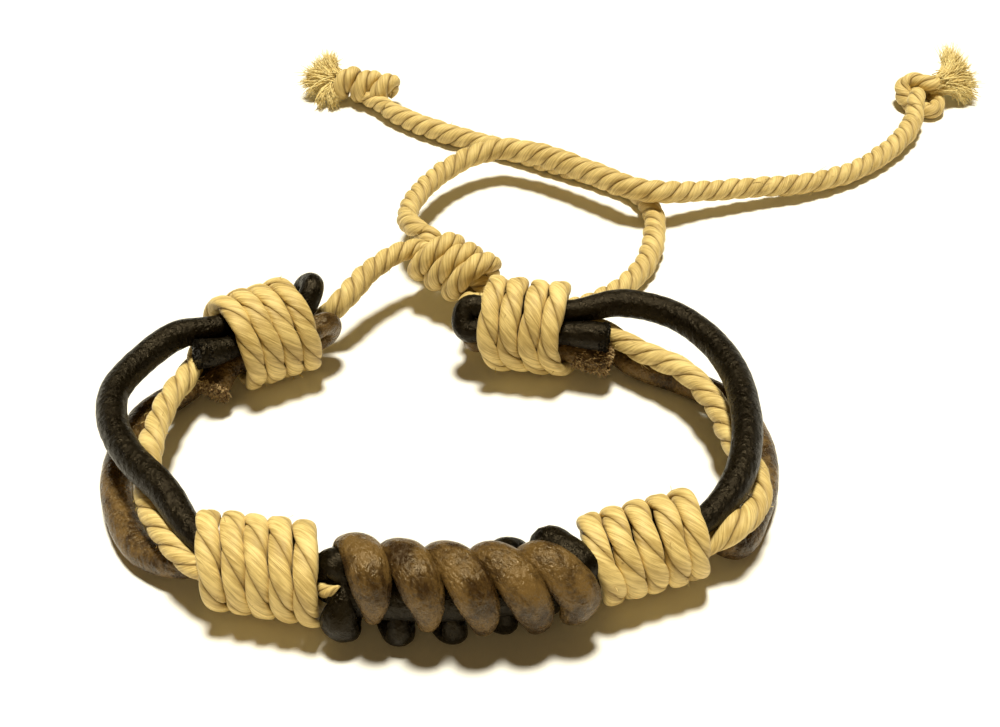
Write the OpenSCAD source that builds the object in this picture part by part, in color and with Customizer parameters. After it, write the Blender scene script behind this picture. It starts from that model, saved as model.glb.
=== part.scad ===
// Adjustable bracelet of two leather cords and a natural rope, bound with twine.
// It lies flat: +Z up, -Y towards the front knot, origin under the middle of the band.

/* [Cords] */
// Thickness of the black and the brown leather cord
leather_d = 3; // [2.6:0.1:3]
// Thickness of the leather cords where twine squeezes them
leather_bound_d = 2.5; // [2.2:0.1:2.5]
// Thickness of the natural rope
rope_d = 2.5; // [2:0.1:2.5]
// Thickness of the natural rope inside the wraps
rope_bound_d = 2; // [1.8:0.1:2]
// Width of one turn of the binding twine, and so the step from turn to turn
twine_w = 2.1; // [1.9:0.05:2.2]
// Thickness of the twine, pressed flat against the bundle
twine_t = 1.5; // [1.3:0.1:1.6]

/* [Front] */
// Radius of the snake knot's centre line, seen from above
front_r = 32; // [30:0.5:34]
// Length of the snake knot between the two front wraps
knot_length = 24; // [23:0.5:25]
// Distance from one loop of the snake knot to the next
knot_pitch = 4.25; // [4.1:0.05:4.3]
// Turns of twine in each front wrap
front_turns = 4.75; // [3.75:0.25:5]
// Radius of the bundle in the left front wrap, at the end towards the side
front_left_r = 2.85; // [2.75:0.05:3]
// How much wider the left front wrap gets towards the snake knot
front_left_flare = 0.35; // [0:0.05:0.4]
// Radius of the bundle in the right front wrap
front_right_r = 2.75; // [2.75:0.05:3]
// Height of the front wraps' centre lines over the table
front_z = 4.75; // [4.75:0.05:5]
// Height of the snake knot's centre line over the table
knot_z = 4.9; // [4.9:0.1:5.2]

/* [Rear] */
// Turns of twine in each rear wrap
rear_turns = 4; // [3:0.25:4.25]
// Radius of the bundle in the left rear wrap
rear_left_r = 3.8; // [3.6:0.05:3.9]
// Radius of the bundle in the right rear wrap
rear_right_r = 3.55; // [3.5:0.05:3.8]
// Height of the rear wraps' centre lines over the table
rear_z = 5.3; // [5.3:0.1:6]
// How far a turned-back loop reaches past its wrap
loop_reach = 3; // [2.8:0.1:3.5]

/* [Detail] */
// Sides of each cord's and rope's cross-section
cord_sides = 8; // [6:1:12]
// Sides of the twine's cross-section
twine_sides = 8; // [6:2:8]
// Rings in one turn of twine
turn_rings = 12; // [12:4:20]

/* [Hidden] */

black = "#1c1a14";
brown = "#5f4628";
straw = "#cdaf69";

leather_r = leather_d / 2;
bound_r = leather_bound_d / 2;
rope_bound_r = rope_bound_d / 2;
up = [0, 0, 1];

// Moves every piece together, so that the origin comes under the middle of the band
origin_shift = [0, 0.46, 0];

// Curve of the front, seen from above: its centre, and the direction of its middle
front_centre = [0, 11.6];
front_heading = 4.3;
knot_half = knot_length / 2;
// The front wraps: where their middle lines end at the snake knot, and their directions in degrees
left_wrap_end = [-9.3, -17.9];
left_wrap_heading = -11;
right_wrap_end = [13.7, -16.4];
right_wrap_heading = 21;
front_wrap_l = (front_turns + 1) * twine_w;
rear_wrap_l = (rear_turns + 1) * twine_w;

// The rear wraps: the middle of the end that faces its side of the band, the direction from there to
// the far end and the twist of the strands on the way, both in degrees, and how far from the middle
// the strands lie there
rear_left = [[-23.8, 14.4], 29.3, 55, 2.4];
rear_right = [[13.8, 17.6], 170.2, -22, 2.2];

// Places of the strands round the middle of a bundle, in degrees, from the viewer's side upwards
ring_left = 1.55;
ring_right = 1.45;
rear_places = [["black_side", 100], ["black_end", 28], ["brown_end", -44], ["brown_side", -116], ["rope", 172]];

function unit(v) = v / norm(v);
function flat(v) = [v[0], v[1], v[2]];
function last(list) = list[len(list) - 1];
function reversed(list) = [for (i = [len(list) - 1 : -1 : 0]) list[i]];
function place(name) = [for (p = rear_places) if (p[0] == name) p[1]][0];

// A row is [x, y, z, radius] of a strand's centre line.
function row(p, r) = [p[0], p[1], p[2], r];

// Direction of a smooth curve at row i, from the slopes to its two neighbours
function slope(rows, i) =
    let (a = rows[max(i - 1, 0)], b = rows[i], c = rows[min(i + 1, len(rows) - 1)],
         ha = norm(flat(b - a)), hc = norm(flat(c - b)))
    ha == 0 ? (c - b) / hc
    : hc == 0 ? (b - a) / ha
    : ((b - a) / ha * hc + (c - b) / hc * ha) / (ha + hc);

// Cubic between rows i and i + 1, at the fraction t of the way
function between(rows, i, t) =
    let (a = rows[i], b = rows[i + 1], h = norm(flat(b - a)))
    a * (2 * t * t * t - 3 * t * t + 1) + b * (3 * t * t - 2 * t * t * t)
    + slope(rows, i) * h * (t * t * t - 2 * t * t + t) + slope(rows, i + 1) * h * (t * t * t - t * t);

// Rows along the smooth curve through the given ones, about gap apart
function smooth(rows, gap) =
    [for (i = [0 : len(rows) - 2])
        let (n = max(1, round(norm(flat(rows[i + 1] - rows[i])) / gap)))
        for (j = [0 : n - 1]) between(rows, i, j / n),
     last(rows)];

function direction(rows, i) =
    unit(flat(rows[min(i + 1, len(rows) - 1)]) - flat(rows[max(i - 1, 0)]));

// A vector square to each ring's direction, carried from ring to ring without twist
function carried(rows) =
    [for (i = 0, v = unit(cross(direction(rows, 0), [0.3, 0.4, 0.87])); i < len(rows);
          i = i + 1, v = i < len(rows) ? square(v, direction(rows, i)) : v) v];
function square(v, d) = unit(v - d * (v * d));

// A closed tube through the rows, its caps square to its ends. tall stretches each ring along its out
// vector, for a strand that is pressed flat.
module tube(rows, sides, outs = [], tall = 1) {
    n = len(rows);
    v = len(outs) > 0 ? [for (i = [0 : n - 1]) square(outs[i], direction(rows, i))] : carried(rows);
    points = [for (i = [0 : n - 1])
        let (w = cross(direction(rows, i), v[i]))
        for (k = [0 : sides - 1])
            let (a = 360 * (k + 0.5) / sides)
            flat(rows[i]) + origin_shift + rows[i][3] * (cos(a) * tall * v[i] + sin(a) * w)];
    walls = [for (i = [0 : n - 2], k = [0 : sides - 1])
        let (m = (k + 1) % sides, a = i * sides, b = a + sides)
        for (f = [[a + k, b + m, a + m], [a + k, b + k, b + m]]) f];
    ends = [[for (k = [0 : sides - 1]) k], [for (k = [0 : sides - 1]) n * sides - 1 - k]];
    polyhedron(points, concat(walls, ends), convexity = 10);
}

// Middle of the front at the distance s from the knot's centre: an arc along the snake knot, and
// straight along the wraps on both sides of it
function arc_heading(s) = front_heading + s / front_r * 180 / PI;
function heading(s) = s < -knot_half ? left_wrap_heading : s > knot_half ? right_wrap_heading : arc_heading(s);
function front_at(s) =
    let (h = heading(s))
    s < -knot_half ? concat(left_wrap_end + (s + knot_half) * [cos(h), sin(h)], front_z)
    : s > knot_half ? concat(right_wrap_end + (s - knot_half) * [cos(h), sin(h)], front_z)
    : concat(front_centre + front_r * [sin(h), -cos(h)], knot_z);
function outward(s) = [sin(heading(s)), -cos(heading(s)), 0];
function in_front(s, out, rise) = front_at(s) + out * outward(s) + rise * up;

// A strand's place in a front bundle, at an angle round it
function front_place(s, a) =
    let (ring = s < 0 ? ring_left : ring_right)
    in_front(s, ring * cos(a), ring * sin(a));

// A point of a rear bundle: t past the mouth of its wrap, at an angle round its middle
function rear_dir(w) = [cos(w[1]), sin(w[1]), 0];
function rear_side(w) = cos(w[1]) > 0 ? cross(rear_dir(w), up) : cross(up, rear_dir(w));
function rear_at(w, t, a, out = 0) =
    let (b = a + w[2] * min(max(t / rear_wrap_l, 0), 1))
    [w[0][0], w[0][1], rear_z] + t * rear_dir(w) + (w[3] + out) * (cos(b) * rear_side(w) + sin(b) * up);

// The end of a leather cord at the rear: cut end, through the wrap, round its loop and back. past is
// how far the cut end reaches out of the wrap's mouth, and bent how far it moves there to the viewer's
// side and down. The loop is an arch that reaches past the wrap, its top lifted out.
function turned_back(w, cut, side, past, bent, reach = loop_reach, lift = 0) =
    let (a = place(cut), b = place(side), mid = (a + b) / 2, l = rear_wrap_l,
         legs = w[3] * sin(abs(a - b) / 2) + 0.05, move = bent[0] * rear_side(w) - bent[1] * up,
         m = rear_at(w, l, mid, w[3] * (cos(abs(a - b) / 2) - 1)),
         o = unit(rear_at(w, l, mid) - rear_at(w, l, mid, -1)),
         e = unit(rear_at(w, l, a) - rear_at(w, l, b)), d = rear_dir(w), top = reach - bound_r)
    [row(rear_at(w, -past, a) + move, leather_r),
     row(rear_at(w, -past / 2, a) + move / 2, leather_r),
     row(rear_at(w, 0.4, a), bound_r),
     row(rear_at(w, l / 2, a), bound_r),
     row(rear_at(w, l - 0.2, a), bound_r),
     row(m + d * top * 0.3 + e * legs + o * lift * 0.4, bound_r),
     row(m + d * top * 0.78 + e * legs * 0.76 + o * lift * 0.85, bound_r),
     row(m + d * top + o * lift, bound_r),
     row(m + d * top * 0.78 - e * legs * 0.76 + o * lift * 0.85, bound_r),
     row(m + d * top * 0.3 - e * legs + o * lift * 0.4, bound_r),
     row(rear_at(w, l - 0.2, b), bound_r),
     row(rear_at(w, l / 2, b), bound_r),
     row(rear_at(w, 0.4, b), bound_r)];

// The snake knot: each cord bulges on its own face and dives back, thinner, under the other's loops
// Half of how deep a loop goes, from its own face to the other
knot_depth = 1.62;
// How much a loop leans along the knot between its top and its bottom, and between its faces, in pitches
knot_slant = 0.1;
knot_bow = 0.15;
// Radius of a cord where it is squeezed under the other's loops, and the degrees by which a loop is
// thickest after the middle of its face
knot_back_r = 0.8;
knot_swell = 15;
loop_rings = 12;
// How high the brown face looks, in degrees, at the left and the right end of the knot
look_left = 76;
look_right = 0;
function look(s) = look_left + (look_right - look_left) * pow((s + knot_half) / knot_length, 2);

// A point of the knot: deep along the brown face's direction, high square to it
function in_knot(s, deep, high) =
    in_front(s, deep * cos(look(s)) - high * sin(look(s)), deep * sin(look(s)) + high * cos(look(s)));

// Rows of one cord's loops. cord is its face, 1 for brown and -1 for black, where its first loop
// crosses the top, half the height of its loops and its radius on its own face. f0 and f1 are in loops.
function loops(cord, f0, f1) =
    [for (i = [round(f0 * loop_rings) : round(f1 * loop_rings)])
        let (f = i / loop_rings, a = 360 * f,
             s = cord[1] + knot_pitch * (f + knot_slant * (1 - cos(a)) + knot_bow * sin(a)),
             r = (cord[3] + knot_back_r) / 2 + (cord[3] - knot_back_r) / 2 * sin(a + knot_swell))
        row(in_knot(s, cord[0] * knot_depth * (1 + sin(a)), cord[2] * cos(a)), r)];

brown_loops = [1, -10.4, 2.9, 1.85];
black_loops = [-1, -10.4 - knot_pitch / 2, 3.05, 1.6];

// The sides of the leather cords, from the rear wraps to the front ones
black_left_side = [
    // x, y, z, radius
    [-27.2, 13.4, 7.9, 1.5], [-30.5, 9.5, 7.5, 1.5], [-32.2, 4.5, 7.5, 1.5], [-31.5, 0, 7.5, 1.5],
    [-28.9, -5, 7.5, 1.5], [-25.2, -9.2, 7.3, 1.5]];
black_right_side = [
    [28, -8, 7, 1.5], [29.5, -3, 7.5, 1.5], [30, 3, 7.5, 1.5], [29.5, 8, 7.5, 1.5],
    [27.5, 13.5, 7.5, 1.5], [24, 17.5, 7.6, 1.5], [19, 19, 7.9, 1.5]];
brown_left_side = [
    [-27, 12, 1.8, 1.4], [-30.3, 8.2, 1.6, 1.5], [-31.7, 3, 1.6, 1.5], [-31.7, -2, 1.6, 1.5],
    [-30, -7.5, 1.6, 1.5], [-27.5, -11.5, 1.6, 1.5], [-24, -14, 2.3, 1.4]];
brown_right_side = [
    [28, -11, 1.65, 1.4], [30.5, -6.5, 1.6, 1.5], [32, -1, 1.6, 1.5], [32, 4, 1.6, 1.5],
    [30, 9.5, 1.6, 1.5], [26, 13.2, 1.6, 1.5], [21, 16, 1.75, 1.45], [17.2, 18.8, 2.3, 1.35]];

// Places of black, rope and brown in the front bundles, in degrees: at the end towards the side, and
// on the left also at the end towards the knot
left_places = [122, 10, -113];
left_knot_places = [62, -36, -150];
right_places = [90, -25, -140];

wrap_end = knot_half + front_wrap_l;

black_route = concat(
    turned_back(rear_left, "black_end", "black_side", 2.8, [0, -0.5], 2.5, 1.7),
    black_left_side,
    [row(front_place(-wrap_end + 0.3, left_places[0]), bound_r),
     row(front_place(-knot_half - 2, left_knot_places[0] + 6), bound_r),
     row(front_place(-knot_half - 0.4, left_knot_places[0]), bound_r),
     row(in_front(-11.3, 1, 0.6), 1.15), row(in_front(-10.7, 2.3, 0), 1.25),
     row(in_front(-10.2, 2.9, -1.4), 1.3), row(in_front(-9.8, 2.3, -2.7), 1.25),
     row(in_front(-9.5, 1.1, -2.4), 1), row(in_front(-9.4, 0.1, -1.3), 0.8)],
    loops(black_loops, 0.8, 5),
    [row(in_knot(9.8, 0, 2.75), 1.35), row(in_knot(10.9, 1.5, 2), 1.3),
     row(front_place(knot_half + 0.4, 36), bound_r),
     row(front_place(wrap_end - 6, right_places[0] - 15), bound_r),
     row(front_place(wrap_end - 0.3, right_places[0]), bound_r)],
    black_right_side,
    reversed(turned_back(rear_right, "black_end", "black_side", 4, [0, 0])));

brown_route = concat(
    turned_back(rear_left, "brown_end", "brown_side", 2, [1.3, 1.1], lift = -0.25),
    brown_left_side,
    [row(front_place(-wrap_end + 0.3, left_places[2]), bound_r),
     row(front_place(-knot_half - 2, left_knot_places[2] + 4), bound_r),
     row(front_place(-knot_half - 0.4, left_knot_places[2]), bound_r),
     row(in_front(-11.6, -2.4, 0.3), 1.05)],
    loops(brown_loops, 0, 4.25),
    [row(in_knot(9.4, 2.4, -2), 1.4), row(in_knot(10.9, 1.2, -2), 1.25),
     row(front_place(knot_half + 0.4, -87), bound_r),
     row(front_place(wrap_end - 6, right_places[2] + 5), bound_r),
     row(front_place(wrap_end - 0.3, right_places[2]), bound_r)],
    brown_right_side,
    reversed(turned_back(rear_right, "brown_end", "brown_side", 4, [0, 0.8])));

// The leather is cut into even rings about this far apart
leather_gap = 2.6;

module leather(rows) {
    tube(smooth(rows, leather_gap), cord_sides);
}

module black_cord() {
    color(black) leather(black_route);
}

module brown_cord() {
    color(brown) leather(brown_route);
}

// The natural rope along each side, from inside the rear wrap to inside the front wrap
rope_gap = 3;
left_rope_side = [
    [-26.2, 11.8, 4.5, 1.15], [-27.6, 7, 4.6, 1.25], [-28.2, 2, 4.5, 1.25], [-28, -3, 4.5, 1.25],
    [-27.5, -8, 4.5, 1.25], [-25.6, -12.2, 4.7, 1.2]];
right_rope_side = [
    [27.5, -12.5, 4.8, 1.25], [30, -8.5, 4.5, 1.25], [30.5, -4.5, 4.5, 1.25], [29, 0, 4.5, 1.25],
    [28, 5.5, 4.5, 1.25], [25, 11.5, 4.7, 1.25], [20.5, 15.2, 4.6, 1.2], [16.5, 18.4, 5.2, 1.1]];

module left_side_rope() {
    color(straw) tube(smooth(concat(
        [row(rear_at(rear_left, rear_wrap_l, place("rope")), rope_bound_r),
         row(rear_at(rear_left, rear_wrap_l / 2, place("rope")), rope_bound_r),
         row(rear_at(rear_left, 0.4, place("rope")), rope_bound_r)],
        left_rope_side,
        [row(front_place(-wrap_end + 0.3, left_places[1]), rope_bound_r),
         row(front_place(-knot_half - 1.2, left_knot_places[1]), rope_bound_r)]), rope_gap), cord_sides);
}

module right_side_rope() {
    color(straw) tube(smooth(concat(
        [row(front_place(wrap_end - 5.5, right_places[1]), rope_bound_r),
         row(front_place(wrap_end - 0.3, right_places[1]), rope_bound_r)],
        right_rope_side,
        [row(rear_at(rear_right, 0.4, place("rope")), rope_bound_r),
         row(rear_at(rear_right, rear_wrap_l / 2, place("rope")), rope_bound_r),
         row(rear_at(rear_right, rear_wrap_l, place("rope")), rope_bound_r)]), rope_gap), cord_sides);
}

// Twine wound round a straight bundle, its middle line running from start along dir. It starts at
// the angle first, widens by flare on the way, and its turns keep a small gap from each other.
turn_gap = 0.06;
module wrap(start, dir, side, bundle_r, turns, first, flare = 0) {
    half_w = (twine_w - turn_gap) / 2 / cos(180 / twine_sides);
    count = turns * turn_rings;
    outs = [for (i = [0 : count]) let (a = first + 360 * i / turn_rings) cos(a) * -side + sin(a) * up];
    rows = [for (i = [0 : count])
        let (out = bundle_r + twine_t / 2 + flare * i / count)
        row(start + dir * twine_w * (0.5 + i / turn_rings) + out * outs[i], half_w)];
    tube(rows, twine_sides, outs, twine_t / 2 / half_w);
}

module front_left_wrap() {
    h = left_wrap_heading;
    color(straw) wrap(front_at(-wrap_end), [cos(h), sin(h), 0], outward(-wrap_end), front_left_r,
                      front_turns, 30, front_left_flare);
}

module front_right_wrap() {
    h = right_wrap_heading;
    color(straw) wrap(front_at(knot_half + 0.01), [cos(h), sin(h), 0], outward(wrap_end), front_right_r,
                      front_turns, 0);
}

// Middle of a rear bundle
function rear_middle(w, t) = rear_at(w, t, 0, -w[3]);

module rear_left_wrap() {
    color(straw) wrap(rear_middle(rear_left, 0), rear_dir(rear_left), rear_side(rear_left),
                      rear_left_r, rear_turns, -60);
}

module rear_right_wrap() {
    color(straw) wrap(rear_middle(rear_right, rear_wrap_l), -rear_dir(rear_right),
                      rear_side(rear_right), rear_right_r, rear_turns, -60);
}

// Where two pieces of one rope meet: the middle of the small gap between their ends, and the
// direction from the first piece to the second. seam is a point of either at the distance t from it.
piece_gap = 0.2;
function seam(j, t, r) = row(j[0] + t * unit(j[1]), r);

// The end knots. The left one winds three turns round itself, to the right along a level axis, and
// runs in and out through their middle.
knot_r = 1.25;
left_turns = [-13.1, 78.6, 2.55];
left_turns_heading = -20;
left_turn_r = 1.2;
left_turn_pitch = 2.9;
function left_axis(x, out = 0, rise = 0) =
    let (h = left_turns_heading)
    left_turns + [x * cos(h) + out * sin(h), x * sin(h) - out * cos(h), rise];
function left_turn(a) =
    row(left_axis(left_turn_pitch * (a / 360 - 1), left_turn_r * cos(a), left_turn_r * sin(a)), 1.3);

// The right one is a single overhand knot: up, round a bight on the right, back under itself, and
// round on the left to lie across its own beginning
right_up = [
    [63.5, 74.3, 3, 1.2], [64.2, 76.8, 2.1, 1.1], [65, 79, 1.4, 1.1]];
right_bight = [
    [64.6, 78.6, 1.4, 1.1], [65.7, 79.3, 1.3, 1.1], [66.8, 78.7, 1.2, 1.1], [67.2, 77, 1.15, 1.1],
    [66.8, 75.2, 1.15, 1.1], [65.7, 74, 1.15, 1.1], [64.4, 74.6, 1.15, 1.1]];
right_over = [
    [65.2, 74.2, 1.15, 1.05], [64, 74.9, 1.15, 1.1], [63, 76.2, 1.3, 1.1], [62.5, 77.6, 1.8, 1.1],
    [62.8, 78.9, 2.6, 1.1], [63.8, 79.1, 3.1, 1.15], [65, 78.4, 3.3, 1.2], [66.2, 77.7, 3.3, 1.2],
    [67.6, 78.2, 3, 1.2]];

// The ropes' other seams: the left one leaves the left rear wrap, the right one comes from the right
// rear wrap, and leaves the sliding knot
left_start = [rear_at(rear_left, rear_wrap_l + piece_gap / 2, place("rope")), rear_dir(rear_left)];
right_start = [rear_at(rear_right, rear_wrap_l + piece_gap / 2, place("rope")), rear_dir(rear_right)];
loop_start = [[-2.6, 35, 6.2], [-0.9, 0.9, 0.1]];
left_end = [[-9.3, 73.5, 1.6], [-0.7, 0.7, 0.05]];
right_end = [[62.8, 72, 2.3], [0.25, 1, 0.3]];

// The tie cords lie where they were put down: route points by hand, in round numbers
tie_gap = 4.5;
tie_left_route = [
    // x, y, z, radius
    [-12, 22.3, 5, 1.25], [-8.7, 27, 6.3, 1.25], [-5.6, 30.4, 6.6, 1.15], [-3.2, 31.9, 6.3, 1.1],
    [-0.9, 30.7, 5.7, 1.1], [1.5, 28.9, 5.3, 1.1], [3.9, 27, 4.9, 1.1], [8, 25, 3.5, 1.25],
    [13, 26, 1.8, 1.25], [17, 28.3, 1.4, 1.3], [20.5, 31.5, 1.4, 1.3], [23.3, 36.3, 1.4, 1.35],
    [24.7, 42, 1.4, 1.35], [25, 47, 1.4, 1.3], [23.6, 51.5, 1.4, 1.3], [19.5, 55.2, 1.4, 1.3],
    [14.5, 58.2, 1.4, 1.3], [9, 61.5, 1.4, 1.3], [3.5, 64.6, 1.4, 1.35], [-2, 67.6, 1.45, 1.4],
    [-6, 70.5, 1.45, 1.4]];
tie_right_route = [
    [-5, 40, 5, 1.25], [-4.7, 44.5, 4.5, 1.25], [-3.2, 49, 4.2, 1.3], [-1, 53, 4, 1.3],
    [2, 56, 4.2, 1.35], [6, 57.8, 4.4, 1.4], [11, 56.2, 4.5, 1.5], [15, 53.6, 4.5, 1.5],
    [19, 50.5, 4.5, 1.5], [22, 48.2, 4.5, 1.45], [25.5, 47.5, 4.3, 1.4], [30, 49, 3.4, 1.3],
    [38, 51.5, 2.5, 1.3], [45, 53.5, 1.9, 1.3], [51.5, 57, 1.5, 1.3], [56.5, 61.5, 1.5, 1.35],
    [60.6, 66.8, 1.8, 1.35]];

module tie_cord_left() {
    color(straw) tube(smooth(concat(
        [seam(left_start, piece_gap / 2, rope_bound_r), seam(left_start, 1.5, 1.1)],
        tie_left_route,
        [seam(left_end, -1.2, 1.3), seam(left_end, -piece_gap / 2, knot_r)]), tie_gap), cord_sides);
}

module tie_cord_right() {
    color(straw) tube(smooth(concat(
        [seam(loop_start, piece_gap / 2, 1.15), seam(loop_start, 1.5, 1.2)],
        tie_right_route,
        [seam(right_end, -1.2, 1.3), seam(right_end, -piece_gap / 2, knot_r)]), tie_gap), cord_sides);
}

// The turns of the right rope round the left one, between the two points of the left one's route
sliding_from = [-2.3, 31.8, 5.9];
sliding_to = [3.9, 27, 4.9];
sliding_r = 2.4;
sliding_first = -150;
sliding_turn = 1140;
sliding_rings = 38;
sliding_lead = [[1.6, 22.6, 5.6, 1.1], [0.9, 24.3, 4.2, 1.1]];

module sliding_knot() {
    d = unit(sliding_to - sliding_from);
    side = unit(cross(d, up));
    lift = cross(side, d);
    turns = [for (i = [0 : sliding_rings])
        let (f = i / sliding_rings, a = sliding_first + sliding_turn * f)
        row(sliding_from + (sliding_to - sliding_from) * f
            + sliding_r * (cos(a) * side + sin(a) * lift), 1.15)];
    color(straw) tube(smooth(concat(
        [seam(loop_start, -piece_gap / 2, 1.15), seam(loop_start, -0.9, 1.15)],
        turns,
        reversed(sliding_lead),
        [seam(right_start, 1.1, 1.05), seam(right_start, piece_gap / 2, rope_bound_r)]), 1.6),
        cord_sides);
}

// A frayed end: tapered locks that spread from one point, each given by its tip and its thick radius
lock_sides = 5;
module tuft(from, locks) {
    for (l = locks) {
        tip = flat(l);
        bend = [0, 0, 0.12 * norm(tip - from)];
        tube([row(from, l[3]), row(from + (tip - from) * 0.35 + bend, l[3]),
              row(from + (tip - from) * 0.7 + bend, l[3] * 0.75), row(tip, l[3] * 0.35)], lock_sides);
    }
}

module left_end_knot() {
    first = -80;
    last = 840;
    root = left_axis(-4);
    color(straw) union() {
        tube(smooth([seam(left_end, piece_gap / 2, knot_r), [-10.5, 75.1, 1.6, 1.15],
                     row(left_axis(0.9, 1.2, -0.8), 1.1), row(left_axis(-0.5), 1)], 1.8), cord_sides);
        tube([for (a = [first : 46 : last]) left_turn(a)], cord_sides);
        tube([row(left_axis(2.4), 1), row(left_axis(-1), 1.1), row(root, 1.2)], cord_sides);
        tuft(left_axis(-3.4),
            [[-17.8, 82.9, 5.4, 0.8], [-19.6, 82.6, 4.6, 0.8], [-21.5, 81.6, 3.2, 0.8],
             [-21.8, 80, 1.4, 0.8], [-19.4, 76, 0.7, 0.7], [-17, 75.6, 0.7, 0.7]]);
    }
}

module right_end_knot() {
    color(straw) union() {
        tube(smooth(concat([seam(right_end, piece_gap / 2, knot_r)], right_up), 1.8), cord_sides);
        tube(smooth(right_bight, 1.8), cord_sides);
        tube(smooth(right_over, 1.8), cord_sides);
        tuft([67, 78.6, 3.3],
            [[69.4, 83.3, 6.2, 0.85], [71.2, 83, 4.8, 0.85], [72.6, 82, 3.2, 0.85],
             [73.2, 79.6, 1.6, 0.8], [72.4, 77.3, 0.7, 0.8]]);
    }
}

black_cord();
brown_cord();
left_side_rope();
right_side_rope();
front_left_wrap();
front_right_wrap();
rear_left_wrap();
rear_right_wrap();
tie_cord_left();
sliding_knot();
tie_cord_right();
left_end_knot();
right_end_knot();
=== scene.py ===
# %% [markdown]
# # A bracelet of leather cord, rope and twine
#
# A black and a brown leather cord are plaited into a snake knot at the front. Natural rope runs beside
# them on both sides, twine binds the strands at four places, and the ropes' ends tie behind with a
# sliding knot. The CAD parts give every piece its place. This lesson gives each one the surface that
# the eye expects: laid plies, waxed leather, frayed ends.

# %% The frame
from collections import namedtuple
from itertools import accumulate
import bpy
import numpy as np
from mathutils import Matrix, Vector


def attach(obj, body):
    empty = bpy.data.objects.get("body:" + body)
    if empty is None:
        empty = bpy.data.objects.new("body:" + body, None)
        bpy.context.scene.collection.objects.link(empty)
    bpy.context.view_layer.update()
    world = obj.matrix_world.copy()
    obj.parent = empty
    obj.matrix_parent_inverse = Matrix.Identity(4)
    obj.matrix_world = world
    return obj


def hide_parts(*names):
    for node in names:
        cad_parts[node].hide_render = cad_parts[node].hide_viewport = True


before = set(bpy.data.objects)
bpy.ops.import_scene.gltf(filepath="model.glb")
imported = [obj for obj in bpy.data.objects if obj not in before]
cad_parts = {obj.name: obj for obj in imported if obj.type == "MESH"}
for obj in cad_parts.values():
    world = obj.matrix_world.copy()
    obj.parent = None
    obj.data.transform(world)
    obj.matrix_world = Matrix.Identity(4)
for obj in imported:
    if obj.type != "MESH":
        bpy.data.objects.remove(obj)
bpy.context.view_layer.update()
MM = 0.001
UP = np.array([0, 0, 1.0])
SHIFT = np.array([0, 0.46, 0])  # brings the origin under the middle of the band, as the CAD does
print("parts in the frame:", len(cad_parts))

# %% [markdown]
# ## The camera
#
# A phone held above the near edge of the table took the picture, so the front knot is larger than the
# tie cords behind it. A camera needs three facts for that: the point it looks at, how steeply it looks
# down, and how far away it is. The lens then follows from the width of the picture.

# %% The camera
aim = np.array([6, 13.96, 4])
steepness = np.radians(38)
distance = 156.9
eye = aim + distance * np.array([0, -np.cos(steepness), np.sin(steepness)])
camera = bpy.data.objects.new("camera", bpy.data.cameras.new("camera"))
bpy.context.collection.objects.link(camera)
camera.location = Vector(eye * MM)
camera.rotation_euler = Vector((aim - eye) * MM).to_track_quat("-Z", "Y").to_euler()
camera.data.lens = 53.6
camera.data.clip_start = 0.002
bpy.context.scene.camera = camera
print("camera at", (eye * MM).round(3))

# %% [markdown]
# ## Curves
#
# Every strand follows a smooth curve through a few rows, each a point and a radius. Bezier curve objects
# could draw them, but a rope's plies need to know how far along the curve each point lies. So the curve
# is worked out here: a cubic from row to row, cut again into equal steps.

# %% Curves
def unit(v):
    """The same directions with length one."""
    v = np.asarray(v, float)
    return v / np.linalg.norm(v, axis=-1, keepdims=True)


def along(rows, gap):
    """Centres, radii and distances along the curve through rows of [x, y, z, radius], gap apart.

    A row's slope is the mean of its two chords' directions, each weighted with the other's length.
    Between two rows runs the cubic that has those places and slopes at its ends.
    """
    rows = np.array(rows, float)
    chord = np.diff(rows, axis=0)
    h = np.linalg.norm(chord[:, :3], axis=1)[:, None]
    d = chord / h
    slope = np.vstack([d[:1], (d[:-1] * h[1:] + d[1:] * h[:-1]) / (h[:-1] + h[1:]), d[-1:]])
    cuts = 24
    t = np.linspace(0, 1, cuts, endpoint=False)[None, :, None]
    a, b, h = rows[:-1, None], rows[1:, None], h[:, None]
    cubic = (a * (2 * t**3 - 3 * t**2 + 1) + b * (3 * t**2 - 2 * t**3)
             + slope[:-1, None] * h * (t**3 - 2 * t**2 + t) + slope[1:, None] * h * (t**3 - t**2))
    cubic = np.vstack([cubic.reshape(-1, 4), rows[-1:]])
    steps = np.linalg.norm(np.diff(cubic[:, :3], axis=0), axis=1)
    s = np.concatenate([[0], np.cumsum(steps)])
    even = np.linspace(0, s[-1], round(s[-1] / gap) + 1)
    fine = np.stack([np.interp(even, s, cubic[:, k]) for k in range(4)], axis=1)
    return fine[:, :3], fine[:, 3], even


def directions(centres):
    """The curve's direction at each centre: from the one before to the one after."""
    return unit(np.gradient(centres, axis=0))


def carried(ways, first):
    """A vector square to each direction, carried from each to the next without twist: what is left of
    the one before when its part along the direction is taken out."""
    def square(v, way):
        return unit(v - way * (v @ way))

    start = square(np.asarray(first, float), ways[0])
    return np.array(list(accumulate(ways[1:], square, initial=start)))


def wander(x, seed, size=1.0):
    """A smooth irregular wave of x: three sines of unlike lengths, their phases drawn from the seed."""
    phase = np.random.default_rng(seed).uniform(0, 2 * np.pi, 3)
    waves = np.sin(x + phase[0]) + 0.6 * np.sin(2.3 * x + phase[1]) + 0.35 * np.sin(5.1 * x + phase[2])
    return size * waves / 1.4


ring = [[np.cos(a), np.sin(a), 0, 1] for a in np.linspace(0, 2 * np.pi, 9)]
print("a circle through eight rows is", along(ring, 0.01)[2][-1].round(2), "long, and 2 pi is 6.28")

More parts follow.
